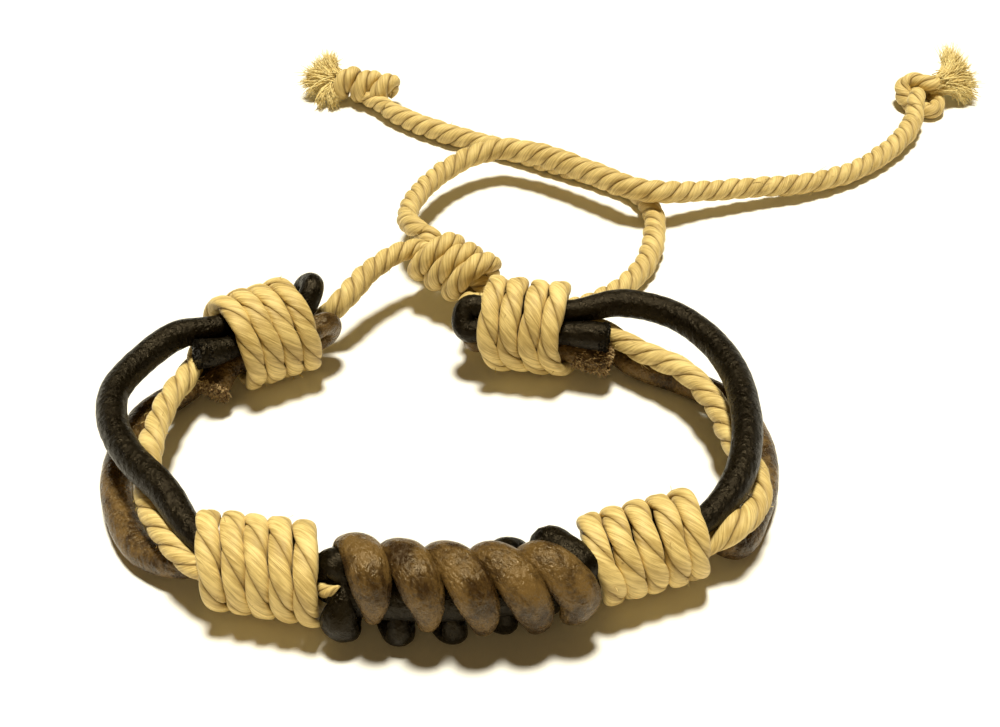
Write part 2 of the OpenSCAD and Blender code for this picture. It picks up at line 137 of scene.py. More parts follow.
# %% [markdown]
# ## From a grid to a mesh
#
# A tube is a grid: rings along it, sides round it. Faces between neighbours close the wall, and a fan to
# a middle point closes each end. One helper does this for one tube or for hundreds of fibres at once,
# and keeps the numbers that the finishes will read.

# %% From a grid to a mesh
def surface(name, grids, finish, slot, **numbers):
    """A piece from grids of points (tubes, rings, sides, 3) in millimetres, with numbers on its points.

    Each four neighbours in a grid make a face that looks outwards, and the first and last ring close
    on their middle.
    """
    grids = np.asarray(grids, float)
    grids = grids[None] if grids.ndim == 3 else grids
    tubes, rings, sides = grids.shape[:3]
    grids = grids + SHIFT
    grids[..., 2] = np.maximum(grids[..., 2], 0.01)  # what would sink into the table lies flat on it
    index = np.arange(tubes * rings * sides).reshape(tubes, rings, sides)
    a, b = index[:, :-1], index[:, 1:]
    walls = np.stack([a, np.roll(a, -1, 2), np.roll(b, -1, 2), b], axis=-1).reshape(-1, 4)
    middles = np.arange(2 * tubes).reshape(2, tubes, 1) + index.size
    first, last = index[:, 0], index[:, -1]
    fans = np.concatenate([
        np.stack([np.roll(first, -1, 1), first, np.broadcast_to(middles[0], first.shape)], axis=-1),
        np.stack([last, np.roll(last, -1, 1), np.broadcast_to(middles[1], last.shape)], axis=-1)])

    def with_middles(values):
        """The values point by point, then the mean of each first ring and of each last ring."""
        flat = values.reshape(index.size, -1)
        return np.vstack([flat, flat[first].mean(axis=1), flat[last].mean(axis=1)])

    mesh = bpy.data.meshes.new(name)
    mesh.from_pydata(with_middles(grids) * MM, [], walls.tolist() + fans.reshape(-1, 3).tolist())
    mesh.shade_smooth()
    for label, values in numbers.items():
        vector = values.shape[-1] == 3
        kept = mesh.attributes.new(label, "FLOAT_VECTOR" if vector else "FLOAT", "POINT")
        kept.data.foreach_set("vector" if vector else "value",
                              with_middles(values).astype(np.float32).ravel())
    mesh.materials.append(finish)
    piece = bpy.data.objects.new(name, mesh)
    bpy.context.collection.objects.link(piece)
    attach(piece, "root")
    print(f"{name}: {len(mesh.vertices)} points")
    return piece


def rings_round(centres, outs, reach, angle, tall=1.0):
    """Points round each centre: reach (rings, sides) at the angles from the out vector, the part along
    the out vector times tall."""
    across = np.cross(directions(centres), outs)
    return (centres[:, None] + (reach * np.cos(angle) * tall)[..., None] * outs[:, None]
            + (reach * np.sin(angle))[..., None] * across[:, None])


# %% [markdown]
# ## Nodes as sums
#
# A finish is a tree of nodes, and most of them only add and multiply. Wires between boxes hide that, so
# one small class lets a socket stand in an ordinary sum, and one method adds every other node.

# %% Nodes as sums
class Wire:
    """A node's output that can stand in a sum: each operator adds one Math node."""

    def __init__(self, finish, socket):
        self.finish, self.socket = finish, socket

    def math(self, operation, *values):
        """One Math node that works on the values."""
        return self.finish.add("ShaderNodeMath", {"operation": operation}, dict(enumerate(values)))

    def __add__(self, other):
        return self.math("ADD", self, other)

    def __sub__(self, other):
        return self.math("SUBTRACT", self, other)

    def __rsub__(self, other):
        return self.math("SUBTRACT", other, self)

    def __mul__(self, other):
        return self.math("MULTIPLY", self, other)

    __radd__ = __add__
    __rmul__ = __mul__


class Finish:
    """A material whose nodes are added one by one."""

    def __init__(self, name, **sockets):
        self.material = bpy.data.materials.new(name)
        self.material.use_nodes = True
        self.tree = self.material.node_tree
        self.shader = self.tree.nodes["Principled BSDF"]
        self.show(sockets)

    def show(self, sockets):
        """Sets the shader's own sockets."""
        for label, value in sockets.items():
            self.plug(self.shader.inputs[label.replace("_", " ")], value)

    def plug(self, socket, value):
        """Links a wire to the socket, or sets the socket's own value."""
        if isinstance(value, Wire):
            self.tree.links.new(value.socket, socket)
        else:
            socket.default_value = value

    def add(self, kind, settings=None, sockets=None, output=0):
        """A node of the kind: its settings first, then the values or wires of its sockets."""
        node = self.tree.nodes.new(kind)
        for label, value in (settings or {}).items():
            setattr(node, label, value)
        for label, value in (sockets or {}).items():
            self.plug(node.inputs[label], value)
        return Wire(self, node.outputs[output])

    def number(self, label):
        """A number kept on the mesh's points."""
        return self.add("ShaderNodeAttribute", {"attribute_name": label}, output=2)

    def place(self, label):
        """A vector kept on the mesh's points."""
        return self.add("ShaderNodeAttribute", {"attribute_name": label}, output=1)

    def noise(self, at, scale, detail=3.0, rough=0.55):
        """Smooth noise between 0 and 1."""
        return self.add("ShaderNodeTexNoise", None,
                        {"Vector": at, "Scale": scale, "Detail": detail, "Roughness": rough})

    def ramp(self, value, low, high):
        """0 up to low, 1 from high on, and smooth between."""
        return self.add("ShaderNodeMapRange", {"interpolation_type": "SMOOTHSTEP"},
                        {"Value": value, "From Min": low, "From Max": high})

    def blend(self, share, a, b):
        """Colour a where share is 0, b where it is 1."""
        return self.add("ShaderNodeMix", {"data_type": "RGBA"}, {0: share, 6: a, 7: b}, output=2)

    def relief(self, height, depth_mm):
        """Shading as if the surface rose by height times the depth."""
        return self.add("ShaderNodeBump", None,
                        {"Height": height, "Distance": depth_mm * MM, "Strength": 1.0})


# %% [markdown]
# ## Natural fibre
#
# The rope and the twine are spun from long pale plant fibres. Close up, each ply is a bundle of streaks
# that run along it, lighter on the ridges and painted darker, towards brown, down in the grooves: painted
# shade. The streaks are noise that is read in the ply's own coordinates, stretched along it, so that they
# follow every bend.

# %% Natural fibre
def fibre_finish(name, pale, straw, deep):
    """Fibre that runs from straw to pale in streaks, with painted shade: darker towards deep in the grooves.
    """
    f = Finish(name, Sheen_Weight=0.08, Sheen_Roughness=0.4)
    at = f.place("fibre")
    yarns = f.noise(at, scale=3.2, detail=2.0, rough=0.5)
    streaks = f.noise(at, scale=8.0, rough=0.6)
    patches = f.noise(f.add("ShaderNodeTexCoord", output=3), scale=300.0, detail=2.0)
    light = f.ramp(yarns * 0.5 + streaks * 0.45 + patches * 0.3, 0.47, 0.77)
    # Painted shade: the colour darkens towards deep, by up to 0.8, in the valleys between plies.
    colour = f.blend(f.number("groove") * 0.8, f.blend(light, straw, pale), deep)
    f.show({"Base_Color": colour, "Roughness": 0.48 + 0.25 * streaks,
            "Normal": f.relief(yarns * 0.5 + streaks * 0.5, depth_mm=0.16)})
    return f.material


# deep is the colour of the painted shade in the valleys between plies.
rope_finish = fibre_finish("natural_rope", pale=(0.82, 0.635, 0.25, 1),
                           straw=(0.47, 0.325, 0.095, 1), deep=(0.2, 0.115, 0.024, 1))
twine_finish = fibre_finish("natural_twine", pale=(0.84, 0.65, 0.255, 1),
                            straw=(0.47, 0.325, 0.095, 1), deep=(0.2, 0.115, 0.022, 1))
open_finish = fibre_finish("open_fibres", pale=(0.92, 0.78, 0.36, 1),
                           straw=(0.66, 0.49, 0.17, 1), deep=(0.3, 0.19, 0.05, 1))
print("fibre finishes:", rope_finish.name, twine_finish.name, open_finish.name)

# %% [markdown]
# ## Waxed leather
#
# The leather cords are round, waxed, and grained: small scales with fine creases between them, which
# catch the lamp one by one. The brown one is mottled where the dye and wax took unevenly. The grain is a
# cell pattern read in the cord's own coordinates, so it bends with the cord.

# %% Waxed leather
def leather_finish(name, dark, light, rough, gloss, scales, crease_mm):
    """Leather mottled from dark to light, with so many scales to the millimetre and creases so deep."""
    f = Finish(name, Specular_IOR_Level=gloss, Specular_Tint=(1, 0.8, 0.52, 1))
    at = f.place("skin")
    cells = f.add("ShaderNodeTexVoronoi", {"feature": "SMOOTH_F1"},
                  {"Vector": at, "Scale": scales, "Smoothness": 0.3})
    creases = f.noise(at, scale=2.3, rough=0.6)
    grain = f.noise(at, scale=7.5, rough=0.6)
    mottle = f.noise(at, scale=0.42)
    colour = f.blend(f.ramp(mottle * 0.65 + creases * 0.2 + grain * 0.15, 0.4, 0.6), dark, light)
    f.show({"Base_Color": colour, "Roughness": rough + 0.22 * cells + 0.3 * (creases - 0.5),
            "Normal": f.relief(creases * 0.55 + grain * 0.2 - cells * 0.3, crease_mm)})
    return f.material


black_finish = leather_finish(
    "black_leather", dark=(0.002, 0.0014, 0.0005, 1), light=(0.0045, 0.0033, 0.0013, 1),
    rough=0.22, gloss=0.19, scales=1.6, crease_mm=0.3)
brown_finish = leather_finish(
    "brown_leather", dark=(0.026, 0.012, 0.003, 1), light=(0.14, 0.082, 0.024, 1),
    rough=0.17, gloss=0.42, scales=1.9, crease_mm=0.36)
print("leather finishes:", black_finish.name, brown_finish.name)

# %% [markdown]
# ## Plies
#
# A rope's section is a ring of plies pressed together: round arches with sharp valleys between them,
# and the ring turns as it goes along. Three tubes wound round each other would do, but they would cut
# into each other at every bend. One formula gives the whole surface instead. The grid's columns turn with
# the plies, so that each valley runs along one clean edge. The plies turn to the left, as in the picture.

# %% Plies
def plied(centres, radii, s, outs, count, lay, phase=0.0,
          depth=0.3, tall=1.0, square=2.0, seed=1, columns=20):
    """Points, ply coordinates and painted groove shade of a rope along centres, and how far its plies have
    turned.

    Across a ply, v runs from -1 in one valley over 0 on its crest to 1 in the next. The surface lies
    1 - depth + depth sqrt(1 - v^2) radii out, and further at the corners of a section that is pressed
    square: divided by (|cos|^q + |sin|^q)^(1/q). The plies turn once to the left in each lay of the
    length, and waver a little. Fine ridges that wind round each ply's middle stand for its yarns. The
    groove shade is painted shade for the valleys: 0.4 v^2 + 0.6 v^8, faint up the ply's side, and full only
    in the valley.
    """
    waver, unevenness = 0.15, 0.16
    yarns, yarn_ridge, yarn_lay = 9, 0.014, lay * 1.3
    stretch, apart = 0.13, 7.3  # streaks run long along a ply, and no two plies share them
    step = 2 * np.pi / count
    v = np.tile(np.sin(np.pi / 2 * np.linspace(-1, 1, columns, endpoint=False)), count)[None]
    ply = np.repeat(np.arange(count), columns)[None]
    swing = wander(s / lay * 1.7, seed, waver)
    turn = (phase - 2 * np.pi * s / lay + swing - swing[0])[:, None]
    angle = turn + (ply + v / 2) * step
    crest = np.sqrt(np.maximum(1 - v**2, 0))
    swell = 1 + unevenness * wander(s[:, None] / lay * 2.1 + 2.4 * ply, seed + 7)
    reach = 1 - depth + depth * crest * swell
    x, y = reach * np.cos(v * step / 2) - 0.5, reach * np.sin(v * step / 2)
    spin = np.arctan2(y, x) + 2 * np.pi * s[:, None] / yarn_lay
    reach = reach + yarn_ridge * np.cos(yarns * spin) * crest
    reach = reach / (np.abs(np.cos(angle))**square + np.abs(np.sin(angle))**square)**(1 / square)
    fibre = np.stack([np.cos(spin) * radii[:, None] / 2, np.sin(spin) * radii[:, None] / 2,
                      s[:, None] * stretch + ply * apart], axis=-1)
    # Painted shade in the valleys between plies, which the fibre finishes read.
    groove = np.broadcast_to(0.4 * v**2 + 0.6 * v**8, angle.shape)
    return rings_round(centres, outs, reach * radii[:, None], angle, tall), fibre, groove, turn[-1, 0]


def rope(name, rows, first_out, phase=0.0, seed=1, lay=6.3, gap=0.24):
    """A three-ply rope along rows. Returns the piece, its centres, and how it ends, for the next one."""
    centres, radii, s = along(rows, gap)
    outs = carried(directions(centres), first_out)
    crest_r = 1.02 * radii  # the plies' crests stand a little proud of the CAD part's smooth tube
    grid, fibre, groove, turned = plied(centres, crest_r, s, outs, 3, lay, phase, seed=seed)
    piece = surface(name, grid, rope_finish, "natural_rope", fibre=fibre, groove=groove)
    return piece, centres, (outs[-1], turned)


# %% [markdown]
# ## Places that the CAD gives
#
# The front is an arc with a straight wrap at each end, and each rear bundle is a straight line. These
# helpers name a place by its distance along the bundle and its angle round it, with the values that the
# CAD part has, so each piece lands where its solid is.

# %% Places that the CAD gives
twine_w, twine_t = 2.1, 1.5
front_wrap_l, rear_wrap_l = 5.75 * twine_w, 5 * twine_w
knot_half = 12.0
wrap_end = knot_half + front_wrap_l
arc_middle, arc_r, arc_turn = np.array([0, 11.6, 4.9]), 32.0, 4.3
left_mouth, left_heading = np.array([-9.3, -17.9, 4.75]), -11
right_mouth, right_heading = np.array([13.7, -16.4, 4.75]), 21
Bundle = namedtuple("Bundle", "mouth heading twist ring")  # in millimetres and degrees
LEFT = Bundle(mouth=np.array([-23.8, 14.4]), heading=29.3, twist=55, ring=2.4)
RIGHT = Bundle(mouth=np.array([13.8, 17.6]), heading=170.2, twist=-22, ring=2.2)
rear_z = 5.3
places = {"black_side": 100, "black_end": 28, "brown_end": -44, "brown_side": -116, "rope": 172}


def row(p, r):
    """A place and a radius, as one row of a curve."""
    return [*p, r]


def heading(s):
    """The front's direction in degrees: the left wrap's, the right wrap's, or the arc's between them."""
    if abs(s) <= knot_half:
        return arc_turn + np.degrees(s / arc_r)
    return left_heading if s < 0 else right_heading


def in_front(s, out, rise):
    """The point s along the front from the knot's middle, moved out to the viewer's side and up."""
    h = np.radians(heading(s))
    side = np.array([np.sin(h), -np.cos(h), 0])
    if abs(s) <= knot_half:
        middle = arc_middle + arc_r * side
    else:
        mouth = left_mouth if s < 0 else right_mouth
        middle = mouth + (s - np.sign(s) * knot_half) * np.array([np.cos(h), np.sin(h), 0])
    return middle + out * side + rise * UP


def front_place(s, a):
    """A strand's place in a front bundle, at the angle a round it."""
    ring = 1.55 if s < 0 else 1.45
    return in_front(s, ring * np.cos(np.radians(a)), ring * np.sin(np.radians(a)))


def rear_dir(w):
    """The direction of a rear bundle, from its mouth on."""
    return np.array([np.cos(np.radians(w.heading)), np.sin(np.radians(w.heading)), 0])


def rear_side(w):
    """Towards the viewer, square to the rear bundle."""
    d = rear_dir(w)
    return np.cross(d, UP) * np.sign(d[0])


def rear_at(w, t, a, out=0.0):
    """The point t past the mouth of a rear wrap, at the angle a round its middle, which turns on the
    way by the bundle's twist."""
    b = np.radians(a + w.twist * np.clip(t / rear_wrap_l, 0, 1))
    return (np.array([*w.mouth, rear_z]) + t * rear_dir(w)
            + (w.ring + out) * (np.cos(b) * rear_side(w) + np.sin(b) * UP))


print("left rear wrap's far end:", rear_at(LEFT, rear_wrap_l, 0, -LEFT.ring).round(1))

# %% [markdown]
# ## The tie cords
#
# The free ropes come first, because everything behind the band hangs on where they lie. The left one
# leaves the left rear wrap, runs through the sliding knot and along the table, and loops back to its end
# knot. The right one winds round it and leaves in a wide loop. A curve object with a round bevel could
# follow their routes, but it could not show plies. So each route is a list of rows for the rope helper.
# They are the CAD part's rows, moved a little where that brought the rope nearer to the real one.

# %% The tie cords' routes
bound, knot_r = 1.0, 1.25
loop_seam, loop_way = np.array([-2.6, 35, 6.2]), unit([-0.9, 0.9, 0.1])
left_seam, left_way = np.array([-9.3, 73.5, 1.6]), unit([-0.7, 0.7, 0.05])
right_seam, right_way = np.array([62.8, 72, 2.3]), unit([0.25, 1, 0.3])
left_start = rear_at(LEFT, rear_wrap_l + 0.1, places["rope"])
right_start = rear_at(RIGHT, rear_wrap_l + 0.1, places["rope"])
left_route = [
    row(left_start, bound), row(left_start + 1.5 * rear_dir(LEFT), 1.1),
    [-12, 22.3, 5, 1.25], [-8.7, 27, 6.3, 1.25], [-5.6, 30.4, 6.6, 1.15], [-3.2, 31.9, 6.3, 1.1],
    [-0.9, 30.7, 5.7, 1.1], [1.5, 28.9, 5.3, 1.1], [3.9, 27, 4.9, 1.1], [8, 25, 3.5, 1.25],
    [13, 26, 1.8, 1.25], [17, 28.3, 1.4, 1.3], [20.5, 31.5, 1.4, 1.3], [23.3, 36.3, 1.4, 1.35],
    [24.7, 42, 1.4, 1.35], [25, 47, 1.4, 1.3], [23.6, 51.5, 1.4, 1.3], [19.5, 55.2, 1.4, 1.3],
    [14.5, 58.2, 1.4, 1.3], [9, 61.5, 1.4, 1.3], [3.5, 64.6, 1.4, 1.35], [-2, 67.6, 1.45, 1.4],
    [-6, 70.5, 1.45, 1.4], row(left_seam - 1.2 * left_way, 1.3), row(left_seam, knot_r)]
right_route = [
    row(loop_seam, 1.15), row(loop_seam + 1.5 * loop_way, 1.2), [-5, 40, 5, 1.25], [-4.7, 44.5, 4.5, 1.25],
    [-3.2, 49, 4.2, 1.3], [-1, 53, 4, 1.3], [2, 56, 4.2, 1.35], [6, 57.8, 4.4, 1.4], [11, 56.2, 4.5, 1.5],
    [15, 53.6, 4.5, 1.5], [19, 50.5, 4.5, 1.5], [22, 48.2, 4.5, 1.45], [25.5, 47.5, 4.3, 1.4],
    [30, 49, 3.4, 1.3], [38, 51.5, 2.5, 1.3], [45, 53.5, 1.9, 1.3], [51.5, 57, 1.5, 1.3],
    [56.5, 61.5, 1.5, 1.35], [60.6, 66.8, 1.8, 1.35],
    row(right_seam - 1.2 * right_way, 1.3), row(right_seam, knot_r)]
print("rows of the tie cords' routes:", len(left_route), "and", len(right_route))

# %% The sliding knot and the tie cords
slide_a, slide_b = np.array([-2.3, 31.8, 5.9]), np.array([3.9, 27, 4.9])
slide_way = unit(slide_b - slide_a)
slide_side = unit(np.cross(slide_way, UP))
slide_lift = np.cross(slide_side, slide_way)
coil_r, coil_lean, coil_thick = 2.4, 0.7, 1.22
done = np.linspace(0, 1, 39)[:, None]
wound = np.radians(-150 + 1140 * done)
coil = (slide_a + (slide_b - slide_a) * done + coil_lean * np.sin(wound) * slide_way
        + coil_r * (np.cos(wound) * slide_side + np.sin(wound) * slide_lift))
slide_rows = ([row(loop_seam, 1.15), row(loop_seam - 0.9 * loop_way, 1.15)]
              + [row(p, coil_thick) for p in coil]
              + [[2.6, 24.3, 3.5, 1.1], [2.8, 22.8, 4.8, 1.1],
                 row(right_start + 1.0 * rear_dir(RIGHT), 1.05), row(right_start, bound)])
sliding_knot, _, slide_state = rope("sliding_knot_turns", slide_rows, UP, seed=3, lay=6.4)
tie_left, left_centres, left_state = rope("left_tie_rope", left_route, UP, seed=4)
tie_right, right_centres, right_state = rope("right_tie_rope", right_route, UP, seed=5)


def length_of(centres):
    """The length along the centres, in metres."""
    return float(np.linalg.norm(np.diff(centres, axis=0), axis=1).sum()) * MM


print("tie ropes:", round(length_of(left_centres), 4), "m and", round(length_of(right_centres), 4), "m")

# %% [markdown]
# ## The end knots
#
# The left rope winds three times round its own end. The right one is a single overhand knot: it goes up,
# bends round on the right, passes back under itself and comes over on the left. Each is drawn as the
# strands that the picture shows, with the rope's own section, so it needs no modelling as a lump.

# %% The end knots
def left_axis(x, out=0.0, rise=0.0):
    """A place in the left knot: x along its turns' axis, out to the viewer's side of it, and up."""
    h = np.radians(-20)
    return np.array([-13.1 + x * np.cos(h) + out * np.sin(h),
                     78.6 + x * np.sin(h) - out * np.cos(h), 2.55 + rise])


def left_turn(a):
    """A row of the turns, a degrees on from the viewer's side of the middle one's start: each turn runs
    on a circle and one step along the axis."""
    step, circle, thick = 2.9, 1.2, 1.3
    turned_by = np.radians(a)
    return row(left_axis(step * (a / 360 - 1), circle * np.cos(turned_by), circle * np.sin(turned_by)), thick)


left_parts = [
    rope("left_knot_entry", [
        row(left_seam, knot_r), [-10.5, 75.1, 1.6, 1.15], row(left_axis(0.9, 1.2, -0.8), 1.1),
        row(left_axis(-0.5), 1)], *left_state, seed=6),
    rope("left_knot_turns", [left_turn(a) for a in range(-80, 841, 23)] + [
        row(left_axis(3.7, -0.9, -0.1), 1.15), row(left_axis(3.3, -0.2, -0.7), 1)], UP, seed=7, gap=0.2),
    rope("left_knot_core", [
        row(left_axis(2.4), 1), row(left_axis(-1), 1.1), row(left_axis(-4), 1.2)], UP, seed=8)]
right_parts = [
    rope("right_knot_up", [
        row(right_seam, knot_r), [63.5, 74.3, 3, 1.2], [64.2, 76.8, 2.1, 1.1], [65, 79, 1.4, 1.1]],
        *right_state, seed=9),
    rope("right_knot_bight", [
        [64.6, 78.6, 1.4, 1.1], [65.7, 79.3, 1.3, 1.1], [66.8, 78.7, 1.2, 1.1], [67.2, 77, 1.15, 1.1],
        [66.8, 75.2, 1.15, 1.1], [65.7, 74, 1.15, 1.1], [64.4, 74.6, 1.15, 1.1]], UP, 1, seed=10, gap=0.2),
    rope("right_knot_over", [
        [65.2, 74.2, 1.15, 1.05], [64, 74.9, 1.15, 1.1], [63, 76.2, 1.3, 1.1], [62.5, 77.6, 1.8, 1.1],
        [62.8, 78.9, 2.6, 1.1], [63.8, 79.1, 3.1, 1.15], [65, 78.4, 3.3, 1.2], [66.2, 77.7, 3.3, 1.2],
        [67.6, 78.2, 3, 1.2]], UP, 2, seed=11, gap=0.2)]
left_knot, right_knot = [p[0] for p in left_parts], [p[0] for p in right_parts]

# %% [markdown]
# ## Loose fibres
#
# A frayed end is hundreds of fibres. Each one is a thin bent tube with four sides, and all of them are
# made in one array: a root, a tip and a bend for each. A particle system would do it too, but its hairs
# would not be part of the mesh.

# %% Loose fibres
def fibres(name, roots, bends, tips, thick, finish, slot, stations=6):
    """A bundle of fibres, each on the curve root (1-t)^2 + 2 bend t (1-t) + tip t^2, thinner to its tip."""
    sides = 4
    t = np.linspace(0, 1, stations)[None, :, None]
    line = roots[:, None] * (1 - t)**2 + 2 * bends[:, None] * t * (1 - t) + tips[:, None] * t**2
    way = unit(np.gradient(line, axis=1))
    v = unit(np.cross(way, unit(np.random.default_rng(len(roots)).normal(size=(len(roots), 1, 3)))))
    w = np.cross(way, v)
    angle = (np.arange(sides) * 2 * np.pi / sides)[None, None, :, None]
    size = thick[:, None, None, None] * (1 - 0.75 * t[..., None]**2)
    grid = line[:, :, None] + size * (np.cos(angle) * v[:, :, None] + np.sin(angle) * w[:, :, None])
    # Loose fibres get no painted shade.
    return surface(name, grid, finish, slot, fibre=grid, groove=np.zeros(grid.shape[:3]))


def frayed(name, centres, locks, seed):
    """Locks of fibres from the rope's open end: each lock has a tip, and its fibres fan out round it."""
    in_lock, tip_scatter, root_scatter, bend_scatter = 200, 0.085, 0.48, 0.42
    start, way = centres[-1], unit(centres[-1] - centres[-4])
    rng = np.random.default_rng(seed)
    tips = np.repeat(np.array(locks, float), in_lock, axis=0)
    spread = rng.normal(size=tips.shape)
    reach = tips - start
    length = np.linalg.norm(reach, axis=1, keepdims=True)
    ends = start + reach * rng.uniform(0.62, 1.02, (len(tips), 1)) + spread * length * tip_scatter
    ends[:, 2] = np.maximum(ends[:, 2], 0.15)
    roots = start - 0.7 * way + rng.normal(size=tips.shape) * root_scatter
    bends = start + way * 1.2 + reach * 0.45 + rng.normal(size=tips.shape) * bend_scatter + UP * 0.4
    bends[:, 2] = np.maximum(bends[:, 2], 0.4)
    thick = rng.uniform(0.06, 0.125, len(tips))
    return fibres(name, roots, bends, ends, thick, open_finish, "natural_rope", stations=7)


left_fray = frayed("left_frayed_end", left_parts[2][1], [
    [-17.6, 83.2, 5.2], [-18.8, 83.2, 5], [-20, 82.6, 4.4], [-20.8, 82, 3.6], [-21.7, 81.4, 3],
    [-21.9, 80.2, 2], [-21.2, 79.2, 1.2], [-19.4, 76.4, 0.7], [-17.4, 76, 0.7]], seed=11)
right_fray = frayed("right_frayed_end", right_parts[2][1], [
    [69.3, 83.4, 6.2], [70.3, 83.2, 5.6], [71.4, 82.8, 4.8], [72.2, 82.3, 4], [72.9, 81.2, 3],
    [73.3, 79.8, 2], [72.8, 78.4, 1.2], [71.6, 77.6, 0.7]], seed=12)


def strays(name, centres, radius, count, seed, finish=rope_finish, slot="natural_rope"):
    """A few thin fibres that have worked loose: each leaves the strand's side at a random place, runs
    out and along for about a millimetre, and has a small bend."""
    rng = np.random.default_rng(seed)
    at = rng.integers(2, len(centres) - 2, count)
    way = directions(centres)[at]
    out = unit(np.cross(way, rng.normal(size=(count, 3))))
    roots = centres[at] + out * radius * 0.93
    long = rng.uniform(0.4, 1.1, (count, 1))
    tips = roots + (out * rng.uniform(0.25, 0.8, (count, 1)) + way * rng.normal(size=(count, 1))) * long
    bends = (roots + tips) / 2 + out * 0.2 * long + rng.normal(size=(count, 3)) * 0.12
    tips[:, 2], bends[:, 2] = np.maximum(tips[:, 2], 0.08), np.maximum(bends[:, 2], 0.08)
    return fibres(name, roots, bends, tips, rng.uniform(0.022, 0.038, count), finish, slot)


left_strays = strays("left_tie_strays", left_centres, 1.25, count=70, seed=13)
right_strays = strays("right_tie_strays", right_centres, 1.3, count=70, seed=14)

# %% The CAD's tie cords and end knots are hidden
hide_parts("sliding_knot")
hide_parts("tie_cord_left")
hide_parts("tie_cord_right")
for left_part, right_part in zip(left_knot, right_knot):
    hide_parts("left_end_knot")
    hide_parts("right_end_knot")
(left_centres[0] + SHIFT) * MM
(left_centres + SHIFT) * MM
(right_centres[0] + SHIFT) * MM
(right_centres + SHIFT) * MM
print("free cords:", tie_left.name, "and", tie_right.name)

# %% [markdown]
# ## The side ropes
#
# The same rope runs along each side of the band between the leather cords, squeezed thinner where the
# twine binds it. The same helper draws it, from the CAD part's rows with small moves. Only its lay is
# longer, as in the picture.

# %% The side ropes
side_lay = 8.6


def bound_rope(w, t):
    """The rope's row where it is bound, t past the mouth of a rear wrap."""
    return row(rear_at(w, t, places["rope"]), bound)


left_side_rows = [
    bound_rope(LEFT, rear_wrap_l), bound_rope(LEFT, rear_wrap_l / 2), bound_rope(LEFT, 0.4),
    [-26.2, 11.8, 4.5, 1.15], [-27.6, 7, 4.6, 1.25], [-28.2, 2, 4.5, 1.25], [-27.9, -3, 4.6, 1.25],
    [-27.1, -7.8, 4.8, 1.25], [-25.2, -11.8, 5, 1.25],
    row(front_place(-wrap_end + 0.3, 10), bound), row(front_place(-knot_half - 1.2, -36), bound)]
right_side_rows = [
    row(front_place(wrap_end - 5.5, -25), bound), row(front_place(wrap_end - 0.3, -25), bound),
    [27.3, -12.3, 5.1, 1.35], [30, -8.5, 4.6, 1.25], [30.5, -4.5, 4.5, 1.25], [29, 0, 4.5, 1.25],
    [28, 5.5, 4.5, 1.25], [25, 11.5, 4.7, 1.25], [20.5, 15.2, 4.6, 1.2], [16.5, 18.4, 5.2, 1.1],
    bound_rope(RIGHT, 0.4), bound_rope(RIGHT, rear_wrap_l / 2), bound_rope(RIGHT, rear_wrap_l)]
left_side, left_side_line, _ = rope("left_side_strand", left_side_rows, UP, seed=21, lay=side_lay)
right_side, right_side_line, _ = rope("right_side_strand", right_side_rows[::-1], *slide_state,
                                      seed=22, lay=side_lay)
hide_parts("left_side_rope")
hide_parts("right_side_rope")
strays("left_side_strays", left_side_line, 1.2, count=50, seed=23)
strays("right_side_strays", right_side_line, 1.2, count=50, seed=24)

# %% [markdown]
# ## The leather cords
#
# Each leather cord is one strand from cut end to cut end: turned back in a loop behind each rear wrap,
# along the side, and through the snake knot, where it bulges on its own face and is squeezed thin under
# the other's loops. Separate pieces would be simpler, but their joints would show, so each cord is one
# tube. Its rows are the CAD part's with small moves, most of them in the knot's loops.

# %% The leather cords' routes
leather_r, bound_r = 1.5, 1.25


def turned_back(w, cut, side, past, bent, reach=3.0, lift=0.0):
    """Rows of a cord's end: cut end, through the wrap, round its loop, and back.

    The cut end lies past the mouth, bent to the viewer and down. The loop is an arch over the two legs,
    as far as reach behind the wrap, and its top moves out from the bundle by lift.
    """
    a, b, far = places[cut], places[side], rear_wrap_l
    mid, half = (a + b) / 2, np.radians(abs(a - b) / 2)
    legs = w.ring * np.sin(half) + 0.05
    move = bent[0] * rear_side(w) - bent[1] * UP
    between = rear_at(w, far, mid, w.ring * (np.cos(half) - 1))
    out = unit(rear_at(w, far, mid) - rear_at(w, far, mid, -1))
    across = unit(rear_at(w, far, a) - rear_at(w, far, b))
    on, top = rear_dir(w), reach - bound_r
    arch = [(0.3, 1, 0.4), (0.78, 0.76, 0.85), (1, 0, 1), (0.78, -0.76, 0.85), (0.3, -1, 0.4)]
    inside = [0.4, far / 2, far - 0.2]
    return ([row(rear_at(w, -past, a) + move, leather_r),
             row(rear_at(w, -past / 2, a) + move / 2, leather_r)]
            + [row(rear_at(w, t, a), bound_r) for t in inside]
            + [row(between + on * top * x + across * legs * y + out * lift * z, bound_r) for x, y, z in arch]
            + [row(rear_at(w, t, b), bound_r) for t in inside[::-1]])


def in_knot(s, deep, high):
    """A point of the snake knot: deep along the brown face's direction, high square to it. The face
    looks up at the left end and to the viewer at the right end."""
    look_up = 76
    look = np.radians(look_up - look_up * ((s + knot_half) / (2 * knot_half))**2)
    return in_front(s, deep * np.cos(look) - high * np.sin(look),
                    deep * np.sin(look) + high * np.cos(look))


pitch, first_loop = 4.25, -10.4
sight = unit(aim - eye)


